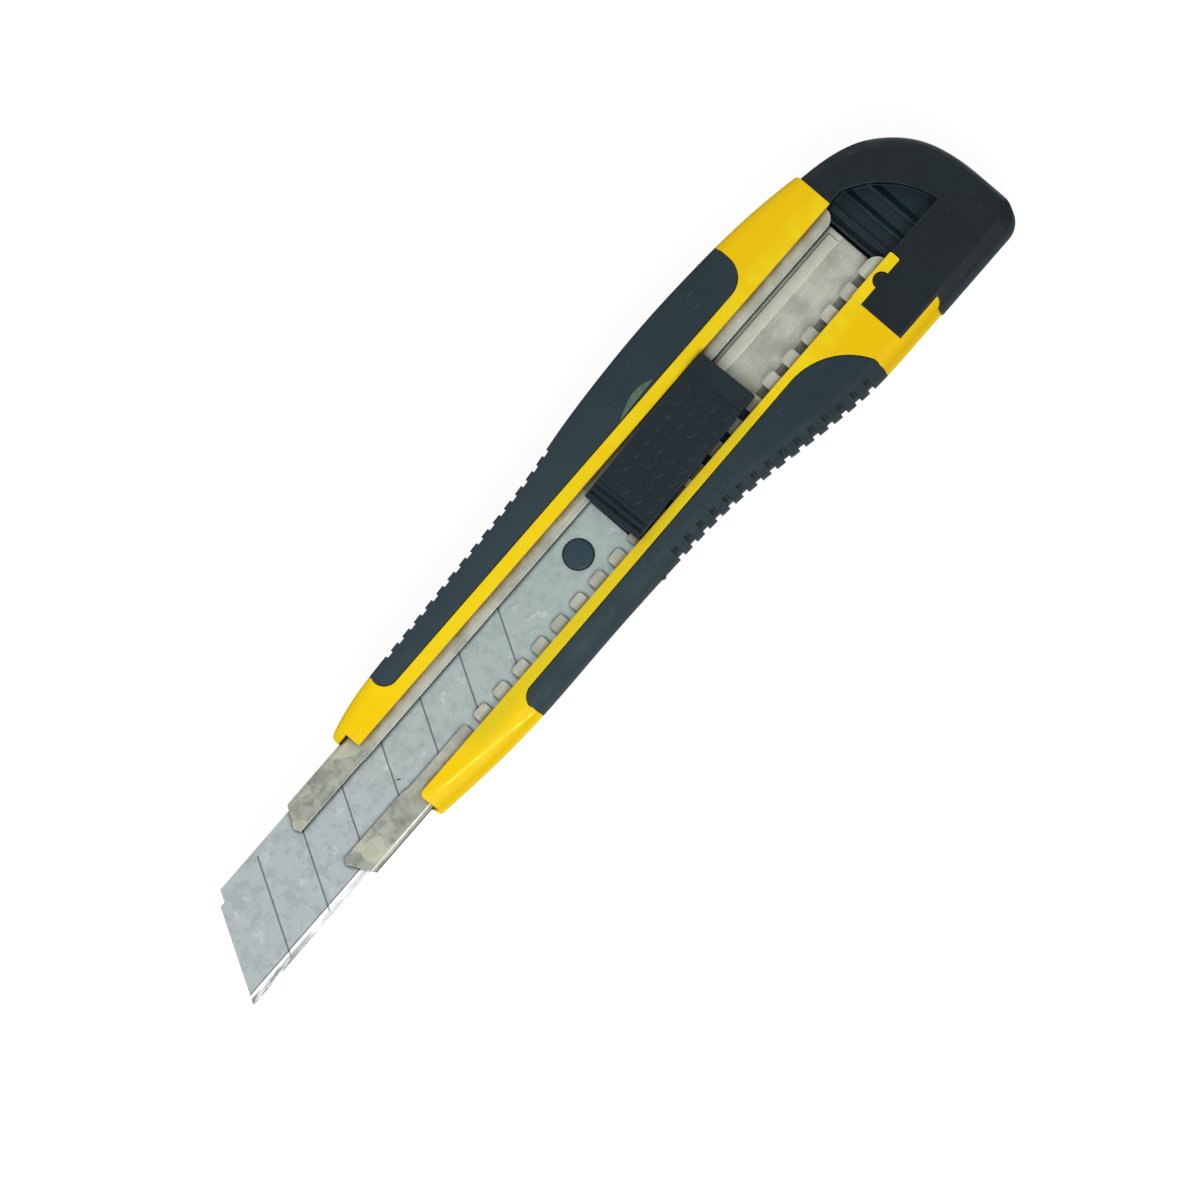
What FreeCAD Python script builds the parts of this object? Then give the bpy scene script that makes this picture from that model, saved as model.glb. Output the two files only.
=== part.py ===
import FreeCAD, Part
import os
import re
from types import SimpleNamespace

# Snap off knife, 18 mm.  Row frame: +X towards the rear cap, +Y towards the blade's spine,
# +Z from the flat back towards the slider.  The origin is on the back face, under the channel.
# All sizes are millimetres.

V = FreeCAD.Vector
UP = V(0, 0, 1)

DIMENSIONS = {
    # handle
    "handle_thick": 17.0,
    "handle_front": -60.3,
    "handle_rear": 69.3,
    "rail_front": -58.1,
    "rail_half_gap": 7.0,
    "top_round": 2.5,
    "back_round": 5.5,
    "nose_facet_angle": 16.0,
    # soft grips
    "grip_skin": 1.6,
    "grip_back_skin": 2.6,
    "grip_edge_spine": 9.65,
    "grip_edge_front": -9.4,
    "grip_edge_rear": -8.8,
    "rim_gap": 0.18,
    "rim_depth": 0.5,
    "spine_rib_pitch": 3.22,
    "spine_rib_count": 15,
    "spine_rib_first": -42.35,
    "spine_rib_gap": 1.35,
    "spine_rib_height": 0.7,
    "finger_notch_pitch": 3.18,
    "finger_notch_count": 15,
    "finger_notch_first": 5.0,
    "finger_notch_gap": 1.25,
    "finger_notch_depth": 1.0,
    # steel guide
    "guide_top": 15.8,
    "guide_height": 3.2,
    "guide_half_width": 9.95,
    "guide_sheet": 0.65,
    "guide_bend": 0.8,
    "guide_front": -76.9,
    "guide_floor_rear": 66.5,
    "guide_rear": 68.3,
    "lip_half_gap": 4.65,
    "notch_pitch": 5.2,
    "notch_count": 21,
    "notch_first": -41.8,
    "notch_width": 2.15,
    "notch_depth": 2.9,
    "notch_corner": 0.7,
    "bead_height": 0.25,
    "bead_half_width": 1.2,
    "bead_place": 2.95,
    "bead_rear": 65.4,
    # blade
    "blade_thick": 0.5,
    "blade_half_width": 9.05,
    "blade_tip": -105.1,
    "blade_tail": 1.5,
    "blade_low": 14.3,
    "bevel_width": 1.6,
    "score_pitch": 10.53,
    "score_count": 7,
    "score_lean": 0.577,
    "score_width": 0.3,
    "score_depth": 0.14,
    "score_margin": 1.0,
    # blade carrier and its pin
    "pin_x": -6.9,
    "pin_radius": 2.825,
    "pin_top": 15.2,
    "pin_gap": 0.12,
    "carrier_low": 13.35,
    "carrier_front": -14.8,
    "carrier_rear": 33.8,
    "carrier_half_width": 8.2,
    "block_front": 6.2,
    "block_rear": 30.2,
    "block_half_width": 4.3,
    "block_top": 15.9,
    "well_front": 8.0,
    "well_rear": 28.4,
    "well_half_width": 3.4,
    # slider button
    "button_x": 18.2,
    "button_y": 0.0,
    "button_skew": 2.0,
    "button_half_length": 16.4,
    "button_half_width": 6.2,
    "button_low": 16.75,
    "button_pad": 18.0,
    "button_high": 18.7,
    "button_round": 0.35,
    "neck_low": 15.7,
    "leg_low": 15.05,
    "dot_pitch_x": 3.0,
    "dot_pitch_y": 2.8,
    "dot_radius": 0.95,
    "dot_height": 0.22,
    # lock spring
    "spring_sheet": 0.4,
    "spring_rise": 0.85,
    "spring_half_width": 1.8,
    "tooth_x": 15.4,
    "tooth_width": 1.7,
    "tooth_top": 15.7,
    # end cap and its latch
    "cap_gap": 0.15,
    "tongue_front": 59.3,
    "tongue_inner": -9.1,
    "tongue_outer": -18.4,
    "tongue_low": 12.0,
    "latch_x": 64.9,
    "latch_notch_radius": 1.65,
    "latch_bump_radius": 1.35,
    "latch_rear": 69.9,
    "recess_floor": 13.6,
    "recess_end_radius": 18.2,
    # spare blade bay
    "bay_half_width": 9.3,
    "bay_low": 3.6,
    "bay_high": 10.9,
    "bay_front": -38.0,
    "fit_gap": 0.05,
}

# Outer shape of the handle, seen from the slider side: points from front to rear.
SPINE_SIDE = [(-60.3, 11.8), (-54.6, 13.2), (-48.2, 13.9), (-37.4, 14.3), (-24.5, 14.9), (-11.7, 15.45),
              (-2.1, 16.1), (7.1, 17.2), (17.7, 18.0), (31.0, 18.4), (42.6, 18.1), (53.2, 17.4),
              (62.0, 16.3), (69.3, 14.95)]
EDGE_SIDE = [(-60.3, -10.45), (-53.2, -11.35), (-46.1, -12.15), (-39.0, -12.7), (-31.9, -12.95),
             (-17.7, -12.9), (-3.5, -13.0), (7.1, -13.3), (14.2, -13.65), (21.3, -14.45), (28.4, -15.7),
             (35.5, -17.1), (42.6, -18.4), (49.6, -19.35), (56.7, -19.65), (69.3, -19.7)]
# Outer shape of the cap, from the spine side round the rear to the corner.
CAP_SIDE = [(69.3, 14.2), (72.7, 13.6), (76.2, 12.7), (81.6, 10.25), (85.1, 7.2), (88.25, 2.7),
            (90.0, -3.0), (90.5, -9.0)]

doc = FreeCAD.newDocument("snap_off_knife")
sheet = doc.addObject("Spreadsheet::Sheet", "Dims")
for row, (name, number) in enumerate(DIMENSIONS.items(), start=1):
    sheet.set(f"A{row}", name)
    sheet.set(f"B{row}", str(number))
    sheet.setAlias(f"B{row}", name)
doc.recompute()
D = SimpleNamespace(**{name: float(sheet.get(name)) for name in DIMENSIONS})


# ---------------------------------------------------------------- helpers

def formula(text):
    """Turn a size such as 'guide_top - guide_sheet' into an expression on the sheet."""
    return re.sub(r"[a-z][a-z_]*[a-z]", lambda word: "Dims." + word.group(), text)


def new_body(label):
    body = doc.addObject("PartDesign::Body", label)
    body.Label = label
    return body


def box(body, kind, name, x, y, z):
    """Additive or Subtractive box between two corners, each side given as (low, high)."""
    feature = body.newObject(f"PartDesign::{kind}Box", name)
    for axis, size, (low, high) in (("x", "Length", x), ("y", "Width", y), ("z", "Height", z)):
        feature.setExpression(size, formula(f"({high}) - ({low})"))
        feature.setExpression(f"Placement.Base.{axis}", formula(low))
    return feature


def cylinder(body, kind, name, radius, base, height):
    """Additive or Subtractive upright cylinder on a base point."""
    feature = body.newObject(f"PartDesign::{kind}Cylinder", name)
    feature.setExpression("Radius", formula(radius))
    feature.setExpression("Height", formula(height))
    for axis, value in zip("xyz", base):
        feature.setExpression(f"Placement.Base.{axis}", formula(value))
    return feature


def sketch(body, name, plane, height, geometry):
    """Sketch on one of the body's own origin planes, lifted to a height off the sheet."""
    support = next(item for item in body.Origin.OriginFeatures if item.Role == plane)
    made = body.newObject("Sketcher::SketchObject", name)
    made.AttachmentSupport = (support, [""])
    made.MapMode = "FlatFace"
    made.setExpression("AttachmentOffset.Base.z", formula(height))
    made.addGeometry(geometry, False)
    return made


def pad(body, name, profile, length, both_ways=False):
    feature = body.newObject("PartDesign::Pad", name)
    feature.Profile = profile
    feature.setExpression("Length", formula(length))
    feature.Midplane = both_ways
    return feature


def pocket(body, name, profile, length, both_ways=False):
    """Pocket that starts at its sketch and cuts against the sketch's normal."""
    feature = body.newObject("PartDesign::Pocket", name)
    feature.Profile = profile
    feature.setExpression("Length", formula(length))
    feature.Midplane = both_ways
    return feature


def fillet(body, name, base, radius, picks):
    """Round the edges of a feature that the test picks out."""
    doc.recompute()
    names = [f"Edge{i}" for i, edge in enumerate(base.Shape.Edges, start=1) if picks(edge)]
    feature = body.newObject("PartDesign::Fillet", name)
    feature.Base = (base, names)
    feature.setExpression("Radius", formula(radius))
    return feature


def line(start, end):
    return Part.LineSegment(V(*start, 0), V(*end, 0))


def arc(start, middle, end):
    return Part.Arc(V(*start, 0), V(*middle, 0), V(*end, 0))


def polygon(points):
    return [line(start, end) for start, end in zip(points, points[1:] + points[:1])]


def curve_through(points):
    curve = Part.BSplineCurve()
    curve.interpolate([V(x, y, 0) for x, y in points])
    return curve


def stretch(points, start_x, end_x, inset=0.0):
    """The piece of an outline between two stations, moved towards the middle by an inset."""
    towards_middle = -1 if points[0][1] > 0 else 1
    curve = curve_through([(x, y + towards_middle * inset) for x, y in points])
    ends = [cross_at(curve, x) for x in (start_x, end_x)]
    curve.segment(curve.parameter(ends[0]), curve.parameter(ends[1]))
    return curve


def cross_at(curve, station):
    """The point where an outline passes a station along X."""
    low, high = curve.FirstParameter, curve.LastParameter
    for _ in range(60):
        middle = (low + high) / 2
        if curve.value(middle).x < station:
            low = middle
        else:
            high = middle
    return curve.value((low + high) / 2)


def ends_of(curve):
    start, end = curve.value(curve.FirstParameter), curve.value(curve.LastParameter)
    return (start.x, start.y), (end.x, end.y)


def along(edge, height):
    """True for an edge that lies flat at a height and runs mostly along X."""
    box_of = edge.BoundBox
    return (abs(box_of.ZMin - height) < 1e-4 and abs(box_of.ZMax - height) < 1e-4
            and box_of.XLength > 3 * box_of.YLength)


def grooves(points, first, pitch, count, gap, depth):
    """Small slots across an outline, square to it, one at each station."""
    curve = curve_through(points)
    slots = []
    for i in range(int(count)):
        place = cross_at(curve, first + i * pitch)
        ahead = V(*curve.tangent(curve.parameter(place))[0])
        outward = V(ahead.y, -ahead.x, 0) if place.y < 0 else V(-ahead.y, ahead.x, 0)
        corners = [place + ahead * (side * gap / 2) + outward * out
                   for side, out in ((-1, 1.5), (1, 1.5), (1, -depth), (-1, -depth))]
        slots += polygon([(corner.x, corner.y) for corner in corners])
    return slots


# ---------------------------------------------------------------- grips

def spine_region(inset=0.0, rim=0.0):
    """Plan of the spine grip, with the outline moved in by an inset and the rest out by a rim."""
    front_x, rear_x, rail = -47.7 - rim, 50.2 + rim, D.grip_edge_spine - rim
    outer = stretch(SPINE_SIDE, front_x, rear_x, inset)
    front, rear = ends_of(outer)
    return [outer,
            line(rear, (rear_x, 14.0)),
            arc((rear_x, 14.0), (48.9 + 0.7 * rim, 11.0 - 0.7 * rim), (45.5, rail)),
            line((45.5, rail), (-45.0, rail)),
            arc((-45.0, rail), (-46.9 - 0.7 * rim, 10.35 - 0.7 * rim), (front_x, 11.9)),
            line((front_x, 11.9), front)]


def edge_region(inset=0.0, rim=0.0):
    """Plan of the edge grip, with the outline moved in by an inset and the rest out by a rim."""
    front_x, rear_x = -32.7 - rim, 53.4 + rim
    outer = stretch(EDGE_SIDE, front_x, rear_x, inset)
    front, rear = ends_of(outer)
    rail_front, rail_rear = (-30.0, D.grip_edge_front + rim), (41.0, D.grip_edge_rear + rim)
    return [outer,
            line(rear, (rear_x, -17.4)),
            arc((rear_x, -17.4), (50.0 + 0.7 * rim, -12.4 + 0.7 * rim), rail_rear),
            line(rail_rear, rail_front),
            arc(rail_front, (-31.9 - 0.7 * rim, -10.05 + 0.7 * rim), (front_x, -11.2)),
            line((front_x, -11.2), front)]


def make_grip(label, region, slots):
    """Soft skin that wraps the handle's top, flank and back over one region."""
    body = new_body(label)
    pad(body, label + "_pad", sketch(body, label + "_plan", "XY_Plane", "0", region()), "handle_thick")
    top = fillet(body, label + "_top_round", body.Tip, "top_round",
                 lambda edge: along(edge, D.handle_thick) and edge.Curve.TypeId == "Part::GeomBSplineCurve")
    fillet(body, label + "_back_round", top, "back_round",
           lambda edge: along(edge, 0) and edge.Curve.TypeId == "Part::GeomBSplineCurve")
    core = sketch(body, label + "_core_plan", "XY_Plane", "handle_thick - grip_skin", region(D.grip_skin))
    pocket(body, label + "_core", core, "handle_thick - grip_skin - grip_back_skin")
    box(body, "Subtractive", label + "_guide_seat", ("handle_front", "handle_rear"),
        ("-guide_half_width - fit_gap", "guide_half_width + fit_gap"),
        ("guide_top - guide_height", "guide_top + fit_gap"))
    cuts = sketch(body, label + "_slot_plan", "XY_Plane", "handle_thick", slots)
    pocket(body, label + "_slots", cuts, "handle_thick")
    return body


def make_spine_grip():
    slots = grooves(SPINE_SIDE, D.spine_rib_first, D.spine_rib_pitch, D.spine_rib_count,
                    D.spine_rib_gap, D.spine_rib_height)
    return make_grip("spine_grip", spine_region, slots)


def make_edge_grip():
    """The longer grip, with finger notches and the small mark of its moulding gate."""
    slots = grooves(EDGE_SIDE, D.finger_notch_first, D.finger_notch_pitch, D.finger_notch_count,
                    D.finger_notch_gap, D.finger_notch_depth)
    body = make_grip("edge_grip", edge_region, slots)
    cylinder(body, "Additive", "gate_mark", "0.55", ("0", "-12.95", "6"), "2.5")
    return body


# ---------------------------------------------------------------- handle

def nose_facet(body, start, end):
    """Cut a shallow facet off the top of the nose, to the left of the line from start to end."""
    ahead = (V(*end, 0) - V(*start, 0)).normalize()
    facing = FreeCAD.Rotation(ahead, UP.cross(ahead), UP, "XYZ")
    tilt = FreeCAD.Rotation(ahead, -D.nose_facet_angle)
    run_in, length, width, height = 15, 60, 12, 6
    cutter = body.newObject("PartDesign::SubtractiveBox", "nose_facet")
    cutter.Length, cutter.Width, cutter.Height = length, width, height
    cutter.Placement = FreeCAD.Placement(V(*start, D.handle_thick) - ahead * run_in, tilt * facing)
    return cutter


def make_handle_body():
    body = new_body("handle_body")
    spine = stretch(SPINE_SIDE, D.handle_front, D.handle_rear)
    edge = stretch(EDGE_SIDE, D.handle_front, D.handle_rear)
    spine_front, spine_rear = ends_of(spine)
    edge_front, edge_rear = ends_of(edge)
    plan = [spine, line(spine_rear, edge_rear), edge, line(edge_front, spine_front)]
    pad(body, "shell", sketch(body, "shell_plan", "XY_Plane", "0", plan), "handle_thick")
    top = fillet(body, "shell_top_round", body.Tip, "top_round", lambda e: along(e, D.handle_thick))
    fillet(body, "shell_back_round", top, "back_round", lambda e: along(e, 0))

    nose_facet(body, (-50.0, -10.2), (-57.4, -7.4))
    chin = [arc((-60.3, 8.0), (-58.3, 2.3), (-52.5, 0)), line((-52.5, 0), (-52.5, -1)),
            line((-52.5, -1), (-61, -1)), line((-61, -1), (-61, 8.0)), line((-61, 8.0), (-60.3, 8.0))]
    pocket(body, "nose_chin", sketch(body, "chin_side", "XZ_Plane", "0", chin), "60", both_ways=True)

    # the skin of each grip is let into the shell: over the top, under the back and down the
    # flank, with a fine groove round its rim
    for name, region in (("spine", spine_region), ("edge", edge_region)):
        rim = sketch(body, name + "_rim_plan", "XY_Plane", "handle_thick", region(rim=D.rim_gap))
        pocket(body, name + "_rim", rim, "rim_depth")
        skin = sketch(body, name + "_top_skin", "XY_Plane", "handle_thick", region())
        pocket(body, name + "_top_recess", skin, "grip_skin")
        skin = sketch(body, name + "_back_skin", "XY_Plane", "grip_back_skin", region())
        pocket(body, name + "_back_recess", skin, "grip_back_skin")
        outer = region()[0]
        inner = region(D.grip_skin)[0]
        (outer_front, outer_rear), (inner_front, inner_rear) = ends_of(outer), ends_of(inner)
        flank = [outer, line(outer_rear, inner_rear), inner, line(inner_front, outer_front)]
        skin = sketch(body, name + "_flank_skin", "XY_Plane", "handle_thick", flank)
        pocket(body, name + "_flank_recess", skin, "handle_thick")

    # channel between the rails, the seat of the steel guide and the spare blade bay
    box(body, "Subtractive", "channel", ("handle_front - 1", "handle_rear + 1"),
        ("-rail_half_gap", "rail_half_gap"), ("guide_top - 1", "handle_thick + 1"))
    box(body, "Subtractive", "guide_seat", ("handle_front - 1", "handle_rear + 1"),
        ("-guide_half_width - fit_gap", "guide_half_width + fit_gap"),
        ("guide_top - guide_height - fit_gap", "guide_top + fit_gap"))
    box(body, "Subtractive", "rail_front_step", ("handle_front - 1", "rail_front"),
        ("-guide_half_width - fit_gap", "guide_half_width + fit_gap"),
        ("guide_top", "handle_thick + 1"))
    box(body, "Subtractive", "bay", ("bay_front", "handle_rear + 1"),
        ("-bay_half_width", "bay_half_width"), ("bay_low", "bay_high"))
    box(body, "Subtractive", "floor_end", ("guide_floor_rear - 0.1", "handle_rear + 1"),
        ("-rail_half_gap - 0.5", "rail_half_gap + 0.5"), ("bay_high - 0.5", "guide_top - guide_height"))

    # room for the cap's tongue and for the latch finger beside it
    box(body, "Subtractive", "tongue_slot_top", ("tongue_front", "handle_rear + 1"),
        ("tongue_outer", "-rail_half_gap + 0.1"), ("guide_top + fit_gap", "handle_thick + 1"))
    box(body, "Subtractive", "tongue_slot_low", ("tongue_front", "handle_rear + 1"),
        ("tongue_outer", "-guide_half_width - 1.05"), ("tongue_low", "guide_top + 1"))

    # rounded corners in plan: both rear ends and the small front tip on the spine side
    corners = [arc((67.7, -19.8), (68.8, -19.2), (69.3, -18.0)), line((69.3, -18.0), (71, -18.0)),
               line((71, -18.0), (71, -22)), line((71, -22), (67.7, -22)), line((67.7, -22), (67.7, -19.8)),
               arc((69.3, 14.0), (69.0, 14.8), (68.2, 15.25)), line((68.2, 15.25), (68.2, 17)),
               line((68.2, 17), (71, 17)), line((71, 17), (71, 14.0)), line((71, 14.0), (69.3, 14.0)),
               arc((-60.3, 10.7), (-60.0, 11.55), (-59.2, 12.0)), line((-59.2, 12.0), (-59.2, 14)),
               line((-59.2, 14), (-62, 14)), line((-62, 14), (-62, 10.7)), line((-62, 10.7), (-60.3, 10.7))]
    pocket(body, "corner_rounds", sketch(body, "corner_plan", "XY_Plane", "handle_thick", corners),
           "handle_thick")

    # the front slants back towards the edge side, and the rail there stops a little short of it
    slant = polygon([(-62, 6), (-60.3, 6), (-58.3, -9.3), (-57.3, -13), (-62, -13)])
    pocket(body, "front_slant", sketch(body, "front_slant_plan", "XY_Plane", "handle_thick", slant),
           "handle_thick")
    trim = [line((-62, -6), (-56.4, -6)), line((-56.4, -6), (-56.4, -7)),
            arc((-56.4, -7), (-57.2, -7.3), (-57.55, -8.0)), line((-57.55, -8.0), (-57.2, -13)),
            line((-57.2, -13), (-62, -13)), line((-62, -13), (-62, -6))]
    pocket(body, "edge_rail_front", sketch(body, "edge_rail_plan", "XY_Plane", "handle_thick", trim),
           "handle_thick - guide_top + guide_height")
    return body


def make_latch_finger():
    """Springy end of the edge side rail, with the notch that holds the cap's bump."""
    body = new_body("latch_finger")
    arm = box(body, "Additive", "arm", ("tongue_front", "latch_rear"),
              ("tongue_inner", "-rail_half_gap + 0.1"), ("guide_top + fit_gap", "handle_thick"))
    fillet(body, "arm_end", arm, "0.35",
           lambda edge: edge.BoundBox.ZLength > 0.5 and edge.BoundBox.XMin > D.latch_rear - 0.1)
    cylinder(body, "Subtractive", "bump_notch", "latch_notch_radius",
             ("latch_x", "tongue_inner", "guide_top"), "3")
    return body


# ---------------------------------------------------------------- steel guide

def make_blade_guide():
    """Pressed channel with two lips; the lip on the edge side is notched for the lock."""
    body = new_body("blade_guide")
    low = "guide_top - guide_height"
    outer = box(body, "Additive", "outer", ("guide_front", "guide_rear"),
                ("-guide_half_width", "guide_half_width"), (low, "guide_top"))
    fillet(body, "bends", outer, "guide_bend", lambda edge: edge.BoundBox.XLength > 100)
    box(body, "Subtractive", "inside", ("guide_front - 1", "guide_rear + 1"),
        ("-guide_half_width + guide_sheet", "guide_half_width - guide_sheet"),
        (low + " + guide_sheet", "guide_top - guide_sheet"))
    gap, wide = D.lip_half_gap, D.guide_half_width
    mouth = polygon([(-79, gap + 0.15), (-60.5, gap + 0.15), (-58.5, gap), (70, gap),
                     (70, -gap), (-57.8, -gap), (-59.8, -gap + 0.37), (-79, -gap + 0.37)])
    pocket(body, "mouth", sketch(body, "mouth_plan", "XY_Plane", "guide_top", mouth), "guide_sheet + 0.3")
    box(body, "Subtractive", "floor_end", ("guide_floor_rear", "guide_rear + 1"),
        ("-guide_half_width - 1", "guide_half_width + 1"), (low + " - 1", "guide_top - guide_sheet"))

    # the nose is cut back at both sides
    nose = polygon([(-79, wide + 2), (-74.3, wide + 2), (-74.3, wide), (-76.9, 6.1), (-76.4, gap),
                    (-76.4, -gap + 0.8), (-75.0, -gap + 0.3), (-75.45, -gap - 0.6), (-73.0, -wide),
                    (-73.0, -wide - 2), (-79, -wide - 2)])
    pocket(body, "nose", sketch(body, "nose_plan", "XY_Plane", "guide_top + 1", nose), "guide_height + 2")

    # rounded inner corners at the rear of both lips
    turn = 2.4
    ends = []
    for side in (1, -1):
        tip = (D.guide_rear, side * (gap + turn))
        heel = (D.guide_rear - turn, side * gap)
        knee = (D.guide_rear - 0.3 * turn, side * (gap + 0.3 * turn))
        ends += [arc(heel, knee, tip), line(tip, (D.guide_rear + 1, tip[1])),
                 line((D.guide_rear + 1, tip[1]), (D.guide_rear + 1, side * (gap - 1))),
                 line((D.guide_rear + 1, side * (gap - 1)), (heel[0], side * (gap - 1))),
                 line((heel[0], side * (gap - 1)), heel)]
    pocket(body, "lip_ends", sketch(body, "lip_end_plan", "XY_Plane", "guide_top + 1", ends), "2")

    # one notch, with the rounded shoulders of the teeth on both sides, then the whole row
    half, corner, floor = D.notch_width / 2, D.notch_corner, -gap - D.notch_depth
    centre = D.notch_first
    bend = corner * (1 - 0.7071)
    notch = [line((centre - half - corner, -gap + 0.5), (centre + half + corner, -gap + 0.5)),
             line((centre + half + corner, -gap + 0.5), (centre + half + corner, -gap)),
             arc((centre + half + corner, -gap), (centre + half + bend, -gap - bend),
                 (centre + half, -gap - corner)),
             line((centre + half, -gap - corner), (centre + half, floor + 0.4)),
             arc((centre + half, floor + 0.4), (centre + half - 0.117, floor + 0.117),
                 (centre + half - 0.4, floor)),
             line((centre + half - 0.4, floor), (centre - half + 0.4, floor)),
             arc((centre - half + 0.4, floor), (centre - half + 0.117, floor + 0.117),
                 (centre - half, floor + 0.4)),
             line((centre - half, floor + 0.4), (centre - half, -gap - corner)),
             arc((centre - half, -gap - corner), (centre - half - bend, -gap - bend),
                 (centre - half - corner, -gap)),
             line((centre - half - corner, -gap), (centre - half - corner, -gap + 0.5))]
    plan = sketch(body, "notch_plan", "XY_Plane", "guide_top + 0.5", notch)
    single = pocket(body, "notch", plan, "guide_sheet + 0.8")
    row = body.newObject("PartDesign::LinearPattern", "notch_row")
    row.Originals = [single]
    row.Direction = (plan, ["H_Axis"])
    row.setExpression("Length", formula("(notch_count - 1) * notch_pitch"))
    row.setExpression("Occurrences", formula("notch_count"))
    body.Tip = row

    # a shallow bead pressed up out of the floor
    bead = box(body, "Additive", "bead_top", ("-70", "bead_rear"),
               ("bead_place - bead_half_width", "bead_place + bead_half_width"),
               (low + " + guide_sheet - 0.1", low + " + guide_sheet + bead_height"))
    bead_level = D.guide_top - D.guide_height + D.guide_sheet + D.bead_height
    fillet(body, "bead_edges", bead, "0.15",
           lambda edge: edge.BoundBox.ZMin > bead_level - 1e-3 and edge.BoundBox.ZMax < bead_level + 1e-3)
    box(body, "Subtractive", "bead_under", ("-69.7", "bead_rear - 0.3"),
        ("bead_place - bead_half_width + 0.3", "bead_place + bead_half_width - 0.3"),
        (low + " - 0.1", low + " + bead_height"))
    return body


# ---------------------------------------------------------------- blade and slider

def make_blade():
    body = new_body("blade")
    half, lean, tip = D.blade_half_width, D.score_lean, D.blade_tip
    break_y = 7.0
    break_x = tip + lean * (break_y + half)
    outline = polygon([(tip, -half), (D.blade_tail - 1.5, -half), (D.blade_tail, -half + 1.5),
                       (D.blade_tail, half - 1.5), (D.blade_tail - 1.5, half),
                       (break_x + 2.2, half), (break_x + 1.1, break_y), (break_x, break_y)])
    pad(body, "strip", sketch(body, "strip_plan", "XY_Plane", "blade_low", outline), "blade_thick")
    cylinder(body, "Subtractive", "pin_hole", "pin_radius + pin_gap", ("pin_x", "0", "blade_low - 1"), "3")

    # the cutting edge is ground from both faces
    middle, land = D.blade_low + D.blade_thick / 2, 0.03
    bevels = []
    for side in (1, -1):
        face = middle + side * D.blade_thick / 2
        bevels += polygon([(-half + D.bevel_width, face), (-half - 1, face + side * 1),
                           (-half - 1, middle + side * land), (-half, middle + side * land)])
    grind = sketch(body, "bevel_section", "YZ_Plane", "0", bevels)
    pocket(body, "bevel", grind, "300", both_ways=True)

    # score lines in the face towards the slider, short of the spine by a margin
    scores = []
    for i in range(1, int(D.score_count) + 1):
        foot = tip + i * D.score_pitch
        rise = 2 * half - D.score_margin
        head = foot + lean * rise
        wide = D.score_width / 2 / 0.866
        scores += polygon([(foot - wide, -half), (foot + wide, -half),
                           (head + wide, -half + rise), (head - wide, -half + rise)])
    plan = sketch(body, "score_plan", "XY_Plane", "blade_low + blade_thick", scores)
    pocket(body, "scores", plan, "score_depth")
    return body


def make_blade_carrier():
    """Plate that slides on the guide's floor, with the blade's pin and a block for the button."""
    body = new_body("blade_carrier")
    plate = box(body, "Additive", "plate", ("carrier_front", "carrier_rear"),
                ("-carrier_half_width", "carrier_half_width"), ("carrier_low", "blade_low"))
    fillet(body, "plate_corners", plate, "2", lambda edge: edge.BoundBox.ZLength > 0.5)
    box(body, "Subtractive", "bead_room", ("carrier_front - 1", "carrier_rear + 1"),
        ("bead_place - bead_half_width - 0.2", "bead_place + bead_half_width + 0.2"),
        ("carrier_low - 0.1", "guide_top - guide_height + guide_sheet + bead_height + 0.1"))
    box(body, "Additive", "block", ("block_front", "block_rear"),
        ("-block_half_width", "block_half_width"), ("blade_low - 0.1", "block_top"))
    box(body, "Subtractive", "well", ("well_front", "well_rear"),
        ("-well_half_width", "well_half_width"), ("blade_low", "block_top + 1"))
    box(body, "Subtractive", "barb_windows", ("button_x + 3.5", "button_x + 6.5"),
        ("-block_half_width - 1", "block_half_width + 1"), ("blade_low", "block_top - 0.45"))
    box(body, "Subtractive", "arm_slot", ("tooth_x - 1.2", "tooth_x + 1.2"),
        ("-block_half_width - 1", "0"), ("blade_low", "block_top + 1"))
    pin = cylinder(body, "Additive", "pin", "pin_radius", ("pin_x", "0", "blade_low - 0.1"),
                   "pin_top - blade_low + 0.1")
    fillet(body, "pin_dome", pin, "0.5",
           lambda edge: edge.BoundBox.ZMin > D.pin_top - 0.01 and edge.BoundBox.XMax < 0)
    return body


def make_lock_spring():
    """Bowed leaf in the block's well, with a side arm whose tooth stands in a notch."""
    body = new_body("lock_spring")
    foot, rise, sheet_thick = D.blade_low, D.spring_rise, D.spring_sheet
    front, rear = D.well_front + 0.3, D.well_rear - 0.3
    middle = (front + rear) / 2
    bow = [arc((front, foot), (middle, foot + rise), (rear, foot)),
           line((rear, foot), (rear, foot + sheet_thick)),
           arc((rear, foot + sheet_thick), (middle, foot + rise + sheet_thick), (front, foot + sheet_thick)),
           line((front, foot + sheet_thick), (front, foot))]
    side = sketch(body, "leaf_side", "XZ_Plane", "0", bow)
    pad(body, "leaf", side, "2 * spring_half_width", both_ways=True)
    box(body, "Additive", "arm_root", ("tooth_x - 0.8", "tooth_x + 0.8"),
        ("-spring_half_width - 0.7", "-spring_half_width + 0.4"),
        ("guide_top - guide_sheet - 0.4", "guide_top - guide_sheet + 0.35"))
    box(body, "Additive", "arm", ("tooth_x - 0.8", "tooth_x + 0.8"), ("-6.8", "-spring_half_width - 0.3"),
        ("guide_top - guide_sheet - 0.4", "guide_top - guide_sheet - fit_gap"))
    box(body, "Additive", "tooth", ("tooth_x - tooth_width / 2", "tooth_x + tooth_width / 2"),
        ("-6.8", "-5.0"), ("guide_top - guide_sheet - 0.3", "tooth_top"))
    return body


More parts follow.
